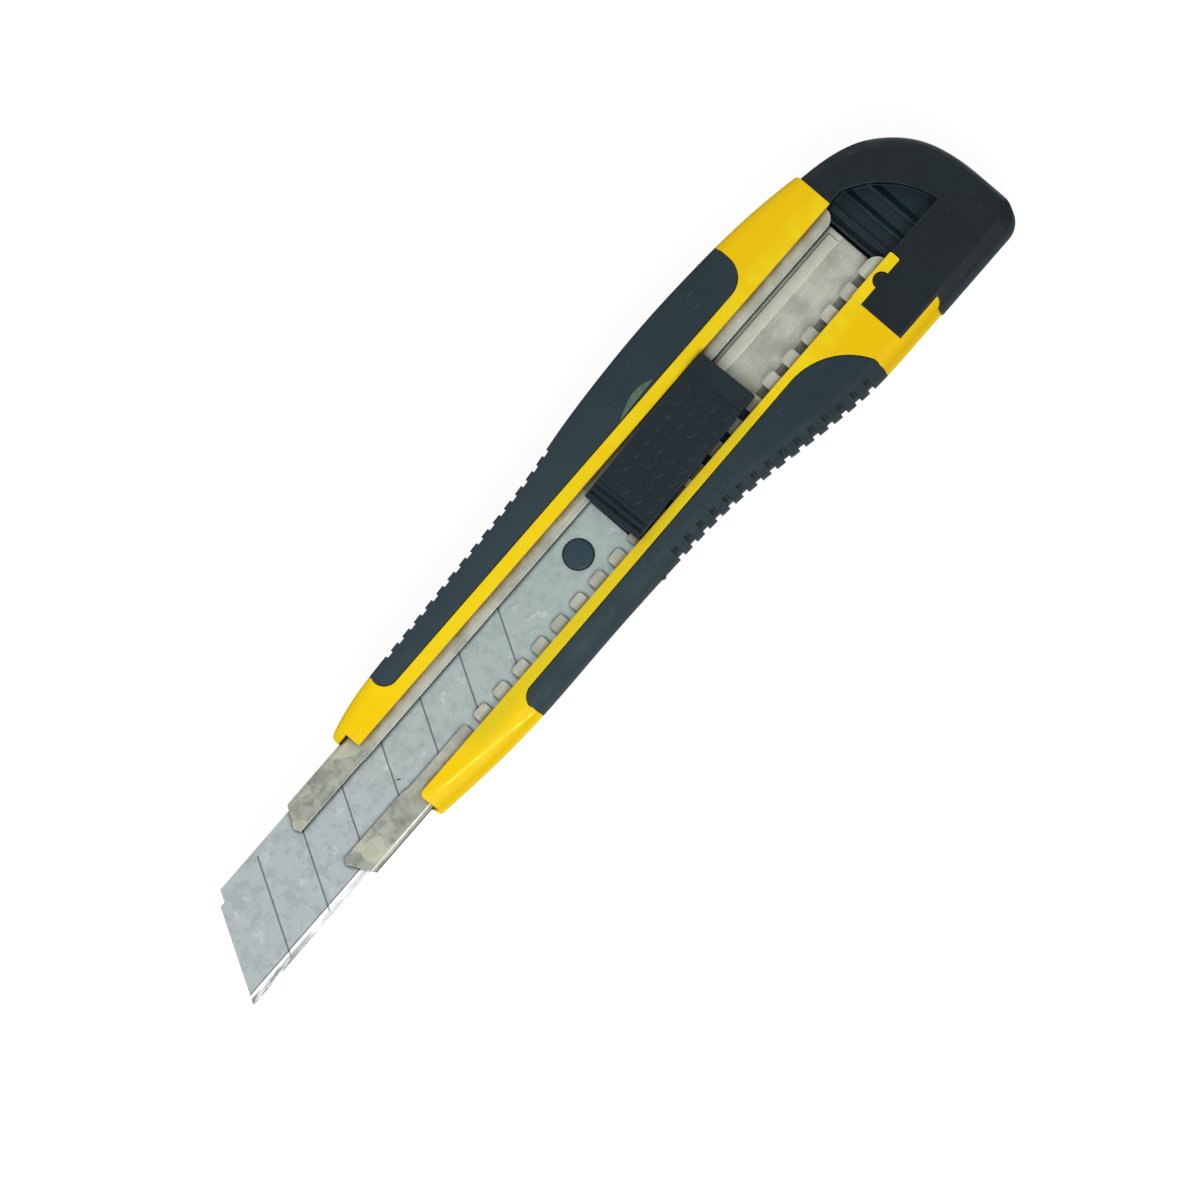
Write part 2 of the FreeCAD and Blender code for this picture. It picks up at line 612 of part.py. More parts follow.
def make_slider_button():
    """Thumb button: ribs at the front, a dotted pad and a raised heel, with a neck below."""
    body = new_body("slider_button")
    half_long, half_wide = D.button_half_length, D.button_half_width
    box(body, "Additive", "base", ("-button_half_length", "button_half_length"),
        ("-button_half_width", "button_half_width"), ("button_low", "button_pad"))
    heel = box(body, "Additive", "heel", ("12.4", "button_half_length"),
               ("-button_half_width", "button_half_width"), ("button_low", "button_high - 0.15"))
    fillet(body, "plan_corners", heel, "0.3",
           lambda edge: edge.BoundBox.ZLength > 1.0 and abs(edge.BoundBox.XMin) > half_long - 0.1)
    for i in range(3):
        start = -half_long + 0.1 + 1.35 * i
        box(body, "Additive", f"rib_{i + 1}", (f"{start:.2f}", f"{start + 1.05:.2f}"),
            ("-button_half_width + 0.1", "button_half_width - 0.1"),
            ("button_low", f"button_high + 0.1 - {0.2 * i:.1f}"))
    fillet(body, "top_edges", body.Tip, "button_round",
           lambda edge: edge.BoundBox.ZMin > D.button_pad + 0.1 and edge.BoundBox.YLength > 2 * half_wide - 2)
    dots = []
    for column in range(8):
        for line_up in range(4):
            place = V((column - 3.6) * D.dot_pitch_x, (line_up - 1.5) * D.dot_pitch_y, 0)
            dots.append(Part.Circle(place, UP, D.dot_radius))
    pad(body, "dots", sketch(body, "dot_plan", "XY_Plane", "button_pad", dots), "dot_height")
    fillet(body, "dot_tops", body.Tip, "0.15",
           lambda edge: len(edge.Vertexes) == 1 and edge.BoundBox.ZLength < 1e-4
           and abs(edge.BoundBox.ZMax - D.button_pad - D.dot_height) < 1e-4)
    box(body, "Additive", "neck", ("-9", "9"), ("-2.85", "2.85"), ("neck_low", "button_low + 0.1"))
    for name, leg, barb in (("spine", ("2.3", "2.85"), ("2.8", "3.7")),
                            ("edge", ("-2.85", "-2.3"), ("-3.7", "-2.8"))):
        box(body, "Additive", "leg_" + name, ("4", "6"), leg, ("leg_low", "button_low"))
        box(body, "Additive", "barb_" + name, ("4", "6"), barb, ("leg_low", "leg_low + 0.3"))
    body.setExpression("Placement.Base.x", formula("button_x"))
    body.setExpression("Placement.Base.y", formula("button_y"))
    body.Placement.Rotation = FreeCAD.Rotation(UP, 0)
    body.setExpression("Placement.Rotation.Angle", formula("button_skew"))
    return body


# ---------------------------------------------------------------- end cap

def make_end_cap():
    body = new_body("end_cap")
    gap = D.cap_gap
    face = D.handle_rear + gap
    outer = curve_through(CAP_SIDE)
    outer.segment(outer.parameter(cross_at(outer, face)), outer.LastParameter)
    start, rear_top = ends_of(outer)
    plan = [outer,
            line(rear_top, (90.5, -15.4)),
            arc((90.5, -15.4), (89.182, -18.582), (86.0, -19.9)),
            line((86.0, -19.9), (67.85, -19.9)),
            arc((67.85, -19.9), (68.95, -19.3), (face, -18.0)),
            line((face, -18.0), start)]
    pad(body, "cap", sketch(body, "cap_plan", "XY_Plane", "0", plan), "handle_thick")

    def outline_edge(height):
        return lambda edge: (abs(edge.BoundBox.ZMin - height) < 1e-4
                             and abs(edge.BoundBox.ZMax - height) < 1e-4
                             and edge.BoundBox.XMax > face + 0.5)

    top = fillet(body, "cap_top_round", body.Tip, "top_round", outline_edge(D.handle_thick))
    fillet(body, "cap_back_round", top, "back_round", outline_edge(0))

    # thumb recess that carries on the channel, with two sawtooth bars
    centre_x, centre_y, radius = 64.4, -9.4, D.recess_end_radius
    near = (centre_x + (radius ** 2 - (7.05 - centre_y) ** 2) ** 0.5, 7.05)
    far = (centre_x + (radius ** 2 - (-7.1 - centre_y) ** 2) ** 0.5, -7.1)
    bow = (centre_x + radius * 0.7071, centre_y + radius * 0.7071)
    recess = [line((68, 7.05), near), arc(near, bow, far),
              line(far, (68, -7.1)), line((68, -7.1), (68, 7.05))]
    pocket(body, "recess", sketch(body, "recess_plan", "XY_Plane", "handle_thick", recess),
           "handle_thick - recess_floor")
    bars = []
    for front, wide in ((72.5, 1.6), (76.3, 1.8)):
        bars += polygon([(front, D.recess_floor - 0.2), (front, D.recess_floor + 1.0),
                         (front + 0.35, D.recess_floor + 1.0), (front + wide, D.recess_floor - 0.2)])
    pad(body, "bars", sketch(body, "bar_side", "XZ_Plane", "0", bars), "14.2", both_ways=True)

    # wall and crossbar that close the rear of the channel
    box(body, "Additive", "front_wall", ("handle_rear - 0.6", "handle_rear + 0.5"),
        ("-rail_half_gap + 0.15", "rail_half_gap - 0.15"), ("12.6", "14.9"))
    box(body, "Additive", "crossbar_web", ("67.1", "handle_rear + 0.5"),
        ("-rail_half_gap + 0.2", "rail_half_gap - 0.2"), ("bay_high - 0.4", "13.2"))
    box(body, "Additive", "crossbar", ("67.1", "67.5"),
        ("-rail_half_gap + 0.2", "rail_half_gap - 0.2"), ("bay_high - 0.4", "15.0"))

    # tongue with its bump, room for the end of the latch finger, and the plug for the bay
    plate = box(body, "Additive", "tongue_plate", ("tongue_front + cap_gap", "handle_rear + 0.5"),
                ("tongue_outer + cap_gap", "tongue_inner - cap_gap"), ("guide_top + cap_gap", "handle_thick"))
    fillet(body, "tongue_edge", plate, "0.5",
           lambda edge: abs(edge.BoundBox.YMax - D.tongue_outer - D.cap_gap) < 1e-4
           and edge.BoundBox.ZMin > D.handle_thick - 0.01 and edge.BoundBox.XLength > 5)
    box(body, "Additive", "tongue_block", ("tongue_front + cap_gap", "handle_rear + 1"),
        ("tongue_outer + cap_gap", "-guide_half_width - 1.2"), ("tongue_low + cap_gap", "guide_top + 1"))
    cylinder(body, "Additive", "bump", "latch_bump_radius",
             ("latch_x", "tongue_inner - cap_gap", "guide_top + cap_gap"),
             "handle_thick - guide_top - cap_gap")
    box(body, "Subtractive", "finger_room", ("handle_rear", "latch_rear + 0.25"),
        ("tongue_inner - cap_gap", "-rail_half_gap + 0.2"), ("guide_top - 0.3", "handle_thick + 1"))
    box(body, "Additive", "plug", ("61.5", "handle_rear + 1"),
        ("-bay_half_width + 0.25", "bay_half_width - 0.25"), ("bay_low + 0.25", "bay_high - 0.25"))
    box(body, "Subtractive", "plug_hollow", ("61", "68"), ("-bay_half_width + 1.6", "bay_half_width - 1.6"),
        ("bay_low + 1.6", "bay_high - 1.6"))
    return body


# ---------------------------------------------------------------- build and write

def check_volumes(body):
    """Stop if a feature that should add or cut left the body as it was."""
    before = 0.0
    for feature in body.Group:
        if not feature.isDerivedFrom("PartDesign::Feature"):
            continue
        volume = feature.Shape.Volume
        adds = "Additive" in feature.TypeId or feature.TypeId.endswith("Pad")
        cuts = "Subtractive" in feature.TypeId or feature.TypeId.endswith("Pocket")
        if (adds and volume < before + 0.001) or (cuts and volume > before - 0.001):
            raise RuntimeError(f"{body.Label}: {feature.Label} changed nothing")
        before = volume


def check_document():
    """Stop if any object failed or any sub-part is empty or broken."""
    for item in doc.Objects:
        if any(word in ("Invalid", "Error") for word in item.State):
            raise RuntimeError(f"{item.Label} failed: {item.State}")
    for piece in PIECES:
        check_volumes(piece)
        shape = piece.Shape
        if shape.isNull() or not shape.isValid() or not shape.Solids:
            raise RuntimeError(f"{piece.Label} has no valid solid")


PIECES = [
    make_handle_body(),
    make_spine_grip(),
    make_edge_grip(),
    make_latch_finger(),
    make_blade_guide(),
    make_blade(),
    make_blade_carrier(),
    make_lock_spring(),
    make_slider_button(),
    make_end_cap(),
]
doc.recompute()
check_document()
os.makedirs("parts", exist_ok=True)
for piece in PIECES:
    piece.Shape.exportStep(os.path.join("parts", piece.Label + ".step"))
    extent = piece.Shape.BoundBox
    print(f"{piece.Label}: {len(piece.Shape.Solids)} solid, {piece.Shape.Volume:.1f} mm3, "
          f"x {extent.XMin:.2f}..{extent.XMax:.2f}, y {extent.YMin:.2f}..{extent.YMax:.2f}, "
          f"z {extent.ZMin:.2f}..{extent.ZMax:.2f}")
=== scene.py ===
import math

import bmesh
import bpy
from mathutils import Matrix, Vector


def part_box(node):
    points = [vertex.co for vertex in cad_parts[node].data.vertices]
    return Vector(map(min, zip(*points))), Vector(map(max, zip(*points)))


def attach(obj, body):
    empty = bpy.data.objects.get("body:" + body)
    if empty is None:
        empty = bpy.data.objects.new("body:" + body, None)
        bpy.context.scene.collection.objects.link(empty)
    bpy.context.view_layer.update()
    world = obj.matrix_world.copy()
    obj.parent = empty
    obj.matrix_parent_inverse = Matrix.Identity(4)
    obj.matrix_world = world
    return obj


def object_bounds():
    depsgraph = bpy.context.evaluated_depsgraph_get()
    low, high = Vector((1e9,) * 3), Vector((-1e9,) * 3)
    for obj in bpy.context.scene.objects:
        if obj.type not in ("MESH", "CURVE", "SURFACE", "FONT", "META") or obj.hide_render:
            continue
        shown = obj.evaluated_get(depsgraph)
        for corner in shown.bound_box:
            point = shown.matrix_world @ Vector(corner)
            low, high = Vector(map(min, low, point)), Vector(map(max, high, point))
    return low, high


# Snap off knife lying on a pale table, seen from above.  Metres, in the row frame:
# +X towards the rear cap, +Y towards the blade's spine, +Z up out of the slider face.

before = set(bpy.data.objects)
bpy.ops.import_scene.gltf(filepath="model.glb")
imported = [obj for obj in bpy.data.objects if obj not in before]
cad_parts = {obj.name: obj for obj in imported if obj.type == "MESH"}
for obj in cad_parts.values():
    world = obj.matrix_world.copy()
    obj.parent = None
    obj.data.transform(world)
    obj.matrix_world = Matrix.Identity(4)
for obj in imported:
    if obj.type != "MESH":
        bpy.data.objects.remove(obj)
cad_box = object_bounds()
MM = 0.001

# Places that the materials refer to, most of them edges and faces of the CAD pieces.
FLANK_START, FLANK_FULL = 9.6 * MM, 10.0 * MM
LIP_EDGE = 4.65 * MM
RAIL_EDGE = 7.0 * MM
ABOVE_GUIDE_FLOOR = 13.9 * MM
NEAR_GUIDE_WALL = 9.1 * MM
BRIGHT_STRIP_MIDDLE, BRIGHT_STRIP_HALF_WIDTH = 3.15 * MM, 1.35 * MM  # over the guide's bead
BEVEL_WIDTH = 1.6 * MM
NOSE_RIDGE = (-54.3 * MM, -9.2 * MM)
NOSE_RIDGE_SLOPE = 0.165
BLADE_FLECK = (-58.0 * MM, -2.1 * MM, 0.0)


# ---------------------------------------------------------------- node helpers

class Shader:
    """A small helper that builds one material's node tree."""

    def __init__(self, name):
        self.material = bpy.data.materials.new(name)
        self.material.use_nodes = True
        self.tree = self.material.node_tree
        self.tree.nodes.clear()
        self.output = self.tree.nodes.new("ShaderNodeOutputMaterial")
        self.bsdf = self.tree.nodes.new("ShaderNodeBsdfPrincipled")
        self.tree.links.new(self.bsdf.outputs[0], self.output.inputs[0])
        self.place = self.add("TexCoord").outputs["Object"]

    def add(self, kind, **settings):
        node = self.tree.nodes.new("ShaderNode" + kind)
        for name, value in settings.items():
            setattr(node, name, value)
        return node

    def feed(self, node, **inputs):
        """Set or link inputs; a socket is linked and anything else is set."""
        for name, value in inputs.items():
            socket = node.inputs[name.replace("_", " ")]
            if isinstance(value, bpy.types.NodeSocket):
                self.tree.links.new(value, socket)
            else:
                socket.default_value = value
        return node

    def math(self, operation, first, second=0.0):
        node = self.add("Math", operation=operation)
        for socket, value in zip(node.inputs, (first, second)):
            if isinstance(value, bpy.types.NodeSocket):
                self.tree.links.new(value, socket)
            else:
                socket.default_value = value
        return node.outputs[0]

    def mix(self, factor, first, second):
        node = self.add("Mix", data_type="RGBA")
        for socket, value in ((node.inputs[0], factor), (node.inputs[6], first), (node.inputs[7], second)):
            if isinstance(value, bpy.types.NodeSocket):
                self.tree.links.new(value, socket)
            else:
                socket.default_value = value if socket == node.inputs[0] else (*value, 1.0)
        return node.outputs[2]

    def ramp(self, value, low, high, to_low=0.0, to_high=1.0):
        node = self.add("MapRange", interpolation_type="SMOOTHSTEP")
        self.feed(node, Value=value, From_Min=low, From_Max=high, To_Min=to_low, To_Max=to_high)
        return node.outputs[0]

    def stretched(self, scale, turn=0.0):
        """The object's own coordinates, in features per metre along each axis."""
        node = self.add("Mapping")
        self.feed(node, Vector=self.place, Scale=scale, Rotation=(0.0, 0.0, turn))
        return node.outputs[0]

    def noise(self, scale, detail=3.0, roughness=0.5, where=None):
        node = self.add("TexNoise")
        self.feed(node, Vector=where or self.place, Scale=scale, Detail=detail, Roughness=roughness)
        return node.outputs[0]

    def cells(self, scale, low, high):
        """Soft-edged polygon patches, here and there, like dried stains."""
        voronoi = self.add("TexVoronoi", feature="SMOOTH_F1")
        self.feed(voronoi, Vector=self.place, Scale=scale, Smoothness=0.15)
        split = self.feed(self.add("SeparateColor"), Color=voronoi.outputs["Color"])
        return self.ramp(self.math("MULTIPLY", split.outputs[0], split.outputs[1]), low, high)

    def axis(self, name):
        node = self.add("SeparateXYZ")
        self.feed(node, Vector=self.place)
        return node.outputs[name]

    def round_edges(self, radius):
        """Normals of softly rounded edges, and a mask that is 1 on those edges."""
        bevel = self.feed(self.add("Bevel", samples=6), Radius=radius)
        dot = self.add("VectorMath", operation="DOT_PRODUCT")
        self.tree.links.new(bevel.outputs[0], dot.inputs[0])
        self.tree.links.new(self.add("NewGeometry").outputs["True Normal"], dot.inputs[1])
        return bevel.outputs[0], self.ramp(dot.outputs["Value"], 0.99, 0.80)

    def crevices(self, reach, clear=0.80, shut=0.35):
        """1 where other surfaces stand close by, such as at the foot of a step."""
        node = self.feed(self.add("AmbientOcclusion", samples=6), Distance=reach)
        return self.ramp(node.outputs["AO"], clear, shut)

    def steep_walls(self):
        """1 on narrow walls that stand up from the flat faces, such as those of a scored line."""
        node = self.feed(self.add("SeparateXYZ"), Vector=self.add("NewGeometry").outputs["True Normal"])
        return self.ramp(self.math("ABSOLUTE", node.outputs["Z"]), 0.9, 0.7)

    def fleck(self):
        """1 on the one small dark scratch of the blade, near the handle's nose."""
        node = self.add("Mapping", vector_type="TEXTURE")
        self.feed(node, Vector=self.place, Location=BLADE_FLECK,
                  Rotation=(0.0, 0.0, -0.55), Scale=(0.54 * MM, 0.16 * MM, 1.0))
        flat = self.add("VectorMath", operation="MULTIPLY")
        self.tree.links.new(node.outputs[0], flat.inputs[0])
        flat.inputs[1].default_value = (1.0, 1.0, 0.0)
        length = self.add("VectorMath", operation="LENGTH")
        self.tree.links.new(flat.outputs[0], length.inputs[0])
        return self.ramp(length.outputs["Value"], 1.2, 0.7)

    def full_flanks(self, normal):
        """Normals of the outer flanks leaned upwards, as on a side that bulges a little."""
        outside = self.ramp(self.math("ABSOLUTE", self.axis("Y")), FLANK_START, FLANK_FULL)
        lift = self.math("MULTIPLY", outside, self.ramp(self.axis("Z"), 1 * MM, 15 * MM, 0.1, 1.0))
        faces = self.feed(self.add("SeparateXYZ"), Vector=self.add("NewGeometry").outputs["Normal"])
        sideways = self.ramp(self.math("ABSOLUTE", faces.outputs["Y"]), 0.05, 0.35)
        lift = self.math("MULTIPLY", self.math("MULTIPLY", lift, self.steep_walls()), sideways)
        lean = self.add("VectorMath", operation="ADD")
        self.tree.links.new(normal, lean.inputs[0])
        self.tree.links.new(self.feed(self.add("CombineXYZ"), Z=lift).outputs[0], lean.inputs[1])
        unit = self.add("VectorMath", operation="NORMALIZE")
        self.tree.links.new(lean.outputs[0], unit.inputs[0])
        return unit.outputs[0]

    def bump(self, height, distance, strength, normal=None):
        node = self.add("Bump")
        self.feed(node, Height=height, Distance=distance, Strength=strength)
        if normal is not None:
            self.feed(node, Normal=normal)
        return node.outputs[0]

    def finish(self, **inputs):
        self.feed(self.bsdf, **inputs)
        return self.material


def linear(red, green, blue):
    """A colour given as 0-255 display values, as linear light."""
    def one(value):
        value = value / 255
        return value / 12.92 if value <= 0.04045 else ((value + 0.055) / 1.055) ** 2.4
    return one(red), one(green), one(blue)


def scratches(shader, turn, length, thin, rarity):
    """Sparse short hairlines: long noise cells cut off near their tops."""
    lines = shader.noise(1.0, detail=1.0, where=shader.stretched((1 / length, 1 / thin, 1 / thin), turn))
    return shader.ramp(lines, rarity, rarity + 0.03)


# ---------------------------------------------------------------- materials

def handle_plastic():
    """Satin moulded yellow, deeper towards the rear, with faint grime, light marks, painted shade in its
    corners and painted highlights on its edges and along the nose ridge.
    """
    s = Shader("handle_plastic")
    rounded, edges = s.round_edges(0.35 * MM)
    clouds = s.noise(45.0, detail=2.0)
    along = s.ramp(s.axis("X"), -0.04, 0.06)
    tone = s.mix(along, linear(228, 192, 2), linear(214, 176, 1))
    tone = s.mix(s.ramp(clouds, 0.35, 0.7, 0.0, 0.25), tone, linear(208, 172, 3))
    marks = s.math("MAXIMUM",
                   scratches(s, 0.5, 9 * MM, 0.35 * MM, 0.70),
                   scratches(s, -0.9, 6 * MM, 0.25 * MM, 0.72))
    tone = s.mix(s.math("MULTIPLY", marks, 0.25), tone, linear(190, 158, 20))
    grime = s.ramp(s.noise(160.0, detail=4.0, roughness=0.6), 0.58, 0.75, 0.0, 0.2)
    tone = s.mix(grime, tone, linear(190, 168, 34))
    rails = s.math("MULTIPLY", s.ramp(s.math("ABSOLUTE", s.axis("Y")), 11.5 * MM, 8.0 * MM),
                   s.ramp(s.axis("X"), -0.050, -0.040))
    tone = s.mix(s.math("MULTIPLY", rails, s.ramp(s.noise(400.0, detail=4.0), 0.35, 0.65, 0.3, 0.8)),
                 tone, linear(216, 194, 22))
    edge_side = s.ramp(s.axis("Y"), -5.0 * MM, -6.0 * MM)
    before_tongue = s.ramp(s.axis("X"), 38.0 * MM, 28.0 * MM)
    edge_rail = s.math("MULTIPLY", s.math("MULTIPLY", edge_side, before_tongue), rails)
    tone = s.mix(s.math("MULTIPLY", edge_rail, 0.5), tone, linear(184, 168, 32))
    # Painted shade: darker brown where other surfaces stand close, at the foot of the grips and rails.
    tone = s.mix(s.math("MULTIPLY", s.crevices(0.7 * MM, 0.88, 0.55), 0.9), tone, linear(52, 38, 4))
    # Painted highlight: a paler yellow along the edges found by the bevel mask.
    tone = s.mix(s.math("MULTIPLY", edges, 0.35), tone, linear(240, 222, 90))
    # Painted highlight: a pale broken line along the nose ridge on the edge side.
    tone = s.mix(ridge_highlight(s), tone, linear(250, 232, 70))
    rough = s.ramp(s.noise(220.0, detail=3.0), 0.3, 0.7, 0.30, 0.42)
    rough = s.math("ADD", rough, s.math("MULTIPLY", marks, 0.15))
    texture = s.noise(3200.0, detail=2.0)
    normal = s.bump(texture, 0.010 * MM, 0.35, s.full_flanks(rounded))
    return s.finish(Base_Color=tone, Roughness=rough, Normal=normal, IOR=1.48, Specular_IOR_Level=0.1)


def ridge_highlight(s):
    """1 along the ridge between the nose's top and its facet, on the edge side, where a highlight is
    painted.
    """
    front_x, front_y = NOSE_RIDGE
    rise = s.math("MULTIPLY", s.math("SUBTRACT", s.axis("X"), front_x), NOSE_RIDGE_SLOPE)
    off = s.math("ABSOLUTE", s.math("ADD", s.math("SUBTRACT", s.axis("Y"), front_y), rise))
    line = s.ramp(off, 0.32 * MM, 0.05 * MM)
    stretch = s.math("MULTIPLY",
                     s.ramp(s.axis("X"), -32.5 * MM, -34.0 * MM),
                     s.ramp(s.axis("X"), -55.4 * MM, -53.5 * MM))
    broken = s.ramp(s.noise(500.0, detail=3.0), 0.35, 0.6, 0.35, 0.9)
    return s.math("MULTIPLY", s.math("MULTIPLY", line, stretch), broken)


def grip_rubber():
    """Matte dark slate overmould with fine grain, pale scuffs, dust in its pores, edges paled by wear and
    painted highlight, and painted shade in its crevices.
    """
    s = Shader("grip_rubber")
    rounded, edges = s.round_edges(0.5 * MM)
    clouds = s.noise(70.0, detail=3.0)
    along = s.ramp(s.axis("X"), -0.04, 0.05)
    tone = s.mix(along, linear(42, 59, 66), linear(24, 41, 47))
    tone = s.mix(s.ramp(clouds, 0.3, 0.7, 0.0, 0.5), tone, linear(34, 48, 53))
    # Wear and painted highlight: edges paled in noisy patches.
    wear_and_highlight = s.math("MULTIPLY", edges, s.ramp(s.noise(260.0), 0.35, 0.65))
    tone = s.mix(s.math("MULTIPLY", wear_and_highlight, 0.35), tone, linear(76, 86, 90))
    marks = s.math("MAXIMUM",
                   scratches(s, 0.7, 3 * MM, 0.2 * MM, 0.735),
                   scratches(s, -0.6, 4 * MM, 0.2 * MM, 0.74))
    tone = s.mix(s.math("MULTIPLY", marks, 0.3), tone, linear(96, 106, 108))
    dust = s.ramp(s.noise(2400.0, detail=1.0), 0.72, 0.80)
    tone = s.mix(s.math("MULTIPLY", dust, 0.25), tone, linear(100, 108, 106))
    in_rims = s.ramp(s.axis("Z"), 14.5 * MM, 15.5 * MM, 0.3, 0.85)
    # Painted shade: near black where other surfaces stand close, weaker low on the flanks.
    tone = s.mix(s.math("MULTIPLY", s.crevices(0.6 * MM, 0.85, 0.50), in_rims), tone, linear(4, 8, 9))
    rough = s.ramp(s.noise(180.0), 0.3, 0.7, 0.55, 0.70)
    grain = s.noise(5200.0, detail=3.0, roughness=0.6)
    normal = s.bump(grain, 0.02 * MM, 0.5, s.full_flanks(rounded))
    return s.finish(Base_Color=tone, Roughness=rough, Normal=normal, IOR=1.5, Specular_IOR_Level=0.2)


def black_plastic(name, dark, light, grain_scale, sunk=None):
    """Fine spark-eroded black plastic with edges paled by wear and painted highlight, a few light
    scratches and paler sunk floors.
    """
    s = Shader(name)
    rounded, edges = s.round_edges(0.25 * MM)
    clouds = s.noise(90.0, detail=3.0)
    tone = s.mix(s.ramp(clouds, 0.3, 0.7), dark, light)
    if sunk:
        tone = s.mix(s.ramp(s.axis("Z"), 15.5 * MM, 14.5 * MM, 0.0, 0.8), tone, sunk)
    # Wear and painted highlight: edges paled in noisy patches, and a little glossier.
    wear_and_highlight = s.math("MULTIPLY", edges, s.ramp(s.noise(420.0), 0.3, 0.6))
    tone = s.mix(s.math("MULTIPLY", wear_and_highlight, 0.65), tone, linear(84, 96, 102))
    marks = s.math("MAXIMUM",
                   scratches(s, 0.3, 2 * MM, 0.2 * MM, 0.735),
                   scratches(s, 1.3, 3 * MM, 0.2 * MM, 0.74))
    tone = s.mix(s.math("MULTIPLY", marks, 0.25), tone, linear(80, 88, 92))
    rough = s.ramp(s.noise(300.0), 0.3, 0.7, 0.42, 0.58)
    rough = s.math("SUBTRACT", rough, s.math("MULTIPLY", wear_and_highlight, 0.12))
    grain = s.noise(grain_scale, detail=3.0, roughness=0.6)
    normal = s.bump(grain, 0.015 * MM, 0.45, s.full_flanks(rounded))
    return s.finish(Base_Color=tone, Roughness=rough, Normal=normal, IOR=1.5, Specular_IOR_Level=0.25)


def guide_steel():
    """Plated pressed steel: fine lengthwise brushing, browner by the rails and mottled at the nose, with
    painted shade in its hollows, under the lips, on the lips' inner walls and low on the side walls, and
    painted highlights on its edges and over the bead.
    """
    s = Shader("guide_steel")
    rounded, edges = s.round_edges(0.15 * MM)
    brushed = s.noise(1.0, detail=4.0, where=s.stretched((90.0, 2600.0, 2600.0)))
    clouds = s.noise(150.0, detail=5.0, roughness=0.65)
    tone = s.mix(s.ramp(clouds, 0.35, 0.65), linear(166, 170, 156), linear(190, 192, 178))
    tone = s.mix(s.ramp(brushed, 0.35, 0.65, 0.0, 0.4), tone, linear(154, 158, 146))
    nose = s.ramp(s.axis("X"), -0.050, -0.064)
    patches = s.cells(330.0, 0.26, 0.50)
    stains = s.mix(s.ramp(s.noise(420.0, detail=6.0, roughness=0.75), 0.40, 0.60),
                   linear(124, 130, 122), linear(168, 171, 160))
    blotches = s.mix(s.math("MULTIPLY", patches, 0.6), stains, linear(198, 199, 176))
    tone = s.mix(s.math("MULTIPLY", nose, 0.75), tone, blotches)
    off_centre = s.math("ABSOLUTE", s.axis("Y"))
    # Browner near the rails in noisy patches, except at the very nose.
    by_rail = s.math("MULTIPLY",
                     s.ramp(off_centre, RAIL_EDGE - 1.4 * MM, RAIL_EDGE + 0.1 * MM),
                     s.ramp(s.axis("X"), -0.060, -0.055))
    brown_near_rails = s.math("MULTIPLY", by_rail, s.ramp(s.noise(330.0, detail=4.0), 0.32, 0.58, 0.25, 1.0))
    tone = s.mix(s.math("MULTIPLY", brown_near_rails, 0.8), tone, linear(142, 110, 58))
    # Painted shade: dark where other surfaces stand close, as under the lips and by the rails.
    tone = s.mix(s.math("MULTIPLY", s.crevices(5.0 * MM, 0.70, 0.25), 0.85), tone, linear(44, 42, 30))
    on_floor = s.ramp(s.axis("Z"), ABOVE_GUIDE_FLOOR + 0.3 * MM, ABOVE_GUIDE_FLOOR)
    # Painted shadow: the floor darkened in a strip just beyond the lips' edges.
    under_lips = s.math("MULTIPLY", s.ramp(off_centre, LIP_EDGE, LIP_EDGE + 0.25 * MM), on_floor)
    tone = s.mix(s.math("MULTIPLY", under_lips, 0.55), tone, linear(58, 57, 45))
    # Painted highlight: a paler strip over the guide's bead.
    off_bead = s.math("ABSOLUTE", s.math("SUBTRACT", s.axis("Y"), BRIGHT_STRIP_MIDDLE))
    bead_highlight = s.ramp(off_bead, BRIGHT_STRIP_HALF_WIDTH + 0.15 * MM, BRIGHT_STRIP_HALF_WIDTH)
    bead_highlight = s.math("MULTIPLY", bead_highlight, on_floor)
    tone = s.mix(s.math("MULTIPLY", bead_highlight, 0.6), tone, linear(212, 213, 197))
    # Painted highlight: near white along the edges.
    tone = s.mix(s.math("MULTIPLY", edges, 0.7), tone, linear(244, 246, 240))
    # Painted shade: the lips' inner walls and the tabs' sides darkened.
    between_rails = s.ramp(off_centre, RAIL_EDGE + 0.2 * MM, RAIL_EDGE)
    above_floor = s.ramp(s.axis("Z"), ABOVE_GUIDE_FLOOR + 0.1 * MM, ABOVE_GUIDE_FLOOR + 0.5 * MM)
    inner_wall = s.math("MULTIPLY", s.math("MULTIPLY", s.steep_walls(), between_rails), above_floor)
    tone = s.mix(s.math("MULTIPLY", inner_wall, 0.9), tone, linear(30, 32, 28))
    # Painted shade: near black low on the outer side walls, with metal and gloss turned off there.
    low_wall = s.math("MULTIPLY",
                      s.ramp(off_centre, NEAR_GUIDE_WALL, NEAR_GUIDE_WALL + 0.2 * MM),
                      s.ramp(s.axis("Z"), 15.0 * MM, 14.7 * MM))
    tone = s.mix(low_wall, tone, linear(14, 14, 12))
    rough = s.ramp(clouds, 0.3, 0.7, 0.36, 0.50)
    rough = s.math("ADD", rough, s.math("MULTIPLY", s.math("MULTIPLY", nose, patches), 0.12))
    rough = s.math("MAXIMUM", rough, low_wall)
    metal = s.math("SUBTRACT", 0.8, s.math("MULTIPLY", low_wall, 0.8))
    normal = s.bump(brushed, 0.006 * MM, 0.5, rounded)
    return s.finish(Base_Color=tone, Metallic=metal, Roughness=rough, Normal=normal)


